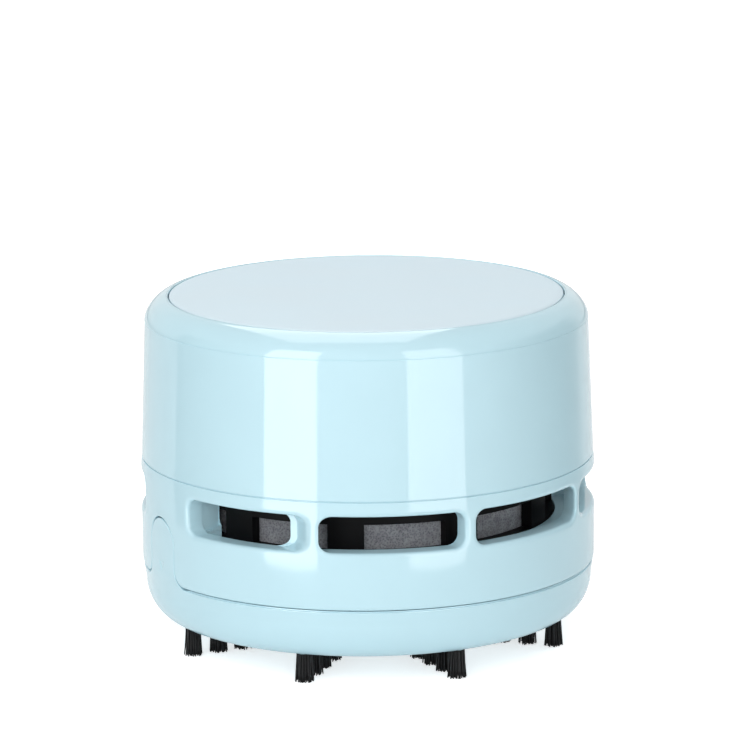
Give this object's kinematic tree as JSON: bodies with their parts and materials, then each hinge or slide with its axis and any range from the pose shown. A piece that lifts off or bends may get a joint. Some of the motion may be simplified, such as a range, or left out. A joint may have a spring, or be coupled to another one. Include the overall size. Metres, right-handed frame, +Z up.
{
  "type": "desktop mini vacuum cleaner",
  "caption": "Round tabletop vacuum on brush rows, with a press-disc switch, slotted exhaust ring, lift-off battery shell and a dust tray with two release tabs.",
  "frame": {"origin": "centre of the ring of brush tips, on the table", "axes": "+Z up through the top disc, the two release tabs on the X axis"},
  "size_m": [0.083, 0.083, 0.0637],
  "materials": {
    "shell_blue": "glossy moulded ABS, pale blue",
    "disc_blue": "satin moulded ABS, pale grey blue",
    "bristle": "black nylon bristles",
    "black_plastic": "black moulded plastic",
    "foam": "dark grey open-cell foam",
    "filter_cloth": "white non-woven cloth",
    "screw_steel": "zinc-plated steel",
    "plated_steel": "bright plated steel sheet",
    "spring_steel": "drawn spring wire",
    "impeller_white": "natural white moulded plastic",
    "copper_winding": "varnished copper winding on an iron core",
    "magnet": "dark ferrite",
    "end_cap_ivory": "ivory moulded plastic",
    "brass": "bright brass sheet",
    "cell_jacket": "printed foil jacket, plain",
    "board_green": "green circuit board",
    "switch_white": "white moulded plastic",
    "wire_red": "red wire insulation",
    "wire_black": "black wire insulation"
  },
  "bodies": {
    "tray": {"base_cover": "shell_blue", "brush_row_1": "bristle", "brush_row_2": "bristle", "brush_row_3": "bristle", "brush_row_4": "bristle", "brush_row_5": "bristle", "brush_row_6": "bristle", "brush_row_7": "bristle", "brush_row_8": "bristle"},
    "left_tab": {"release_tab_left": "shell_blue"},
    "right_tab": {"release_tab_right": "shell_blue"},
    "machine": {"lower_body": "shell_blue", "fan_housing": "black_plastic", "intake_plate": "black_plastic", "exhaust_foam": "foam", "filter_frame": "black_plastic", "dust_filter": "filter_cloth", "housing_screws": "screw_steel", "motor_can": "plated_steel", "motor_magnets": "magnet", "motor_end_cap": "end_cap_ivory", "motor_bushes": "brass", "motor_terminals": "brass", "motor_strap": "plated_steel", "strap_screws": "screw_steel", "battery_deck": "black_plastic", "deck_screws": "screw_steel", "battery_1": "cell_jacket", "battery_2": "cell_jacket", "contact_link": "brass", "contact_positive": "brass", "contact_negative": "brass", "contact_spring_1": "spring_steel", "contact_spring_2": "spring_steel", "switch_board": "board_green", "board_screws": "screw_steel", "switch_body": "switch_white", "switch_pins": "screw_steel", "wire_positive": "wire_red", "wire_negative": "wire_black", "wire_motor": "wire_red"},
    "rotor": {"impeller": "impeller_white", "motor_shaft": "screw_steel", "armature": "copper_winding"},
    "shell": {"upper_shell": "shell_blue", "button_spring": "spring_steel"},
    "button": {"power_button": "disc_blue"},
    "plunger": {"switch_plunger": "switch_white"}
  },
  "joints": [
    {"name": "left_tab_press", "type": "hinge", "parent": "tray", "child": "left_tab", "pos_m": [-0.03865, 0, 0.0144], "axis": [0, 1, 0], "range_deg": [0, 5], "stiffness_Nm_per_rad": 0.3},
    {"name": "right_tab_press", "type": "hinge", "parent": "tray", "child": "right_tab", "pos_m": [0.03865, 0, 0.0144], "axis": [0, -1, 0], "range_deg": [0, 5], "stiffness_Nm_per_rad": 0.3},
    {"name": "machine_lift", "type": "slide", "parent": "tray", "child": "machine", "axis": [0, 0, 1], "range_m": [0, 0.03]},
    {"name": "rotor_spin", "type": "hinge", "parent": "machine", "child": "rotor", "pos_m": [0, 0, 0.0335], "axis": [0, 0, 1], "continuous": true},
    {"name": "shell_lift", "type": "slide", "parent": "machine", "child": "shell", "axis": [0, 0, 1], "range_m": [0, 0.03]},
    {"name": "button_press", "type": "slide", "parent": "shell", "child": "button", "axis": [0, 0, -1], "range_m": [0, 0.0012], "stiffness_N_per_m": 400, "springref_m": -0.0015, "deforming": ["button_spring"]},
    {"name": "plunger_travel", "type": "slide", "parent": "machine", "child": "plunger", "axis": [0, 0, -1], "range_m": [0, 0.0012]}
  ],
  "couplings": [
    {"joint": "plunger_travel", "follows": "button_press", "ratio": 1}
  ]
}
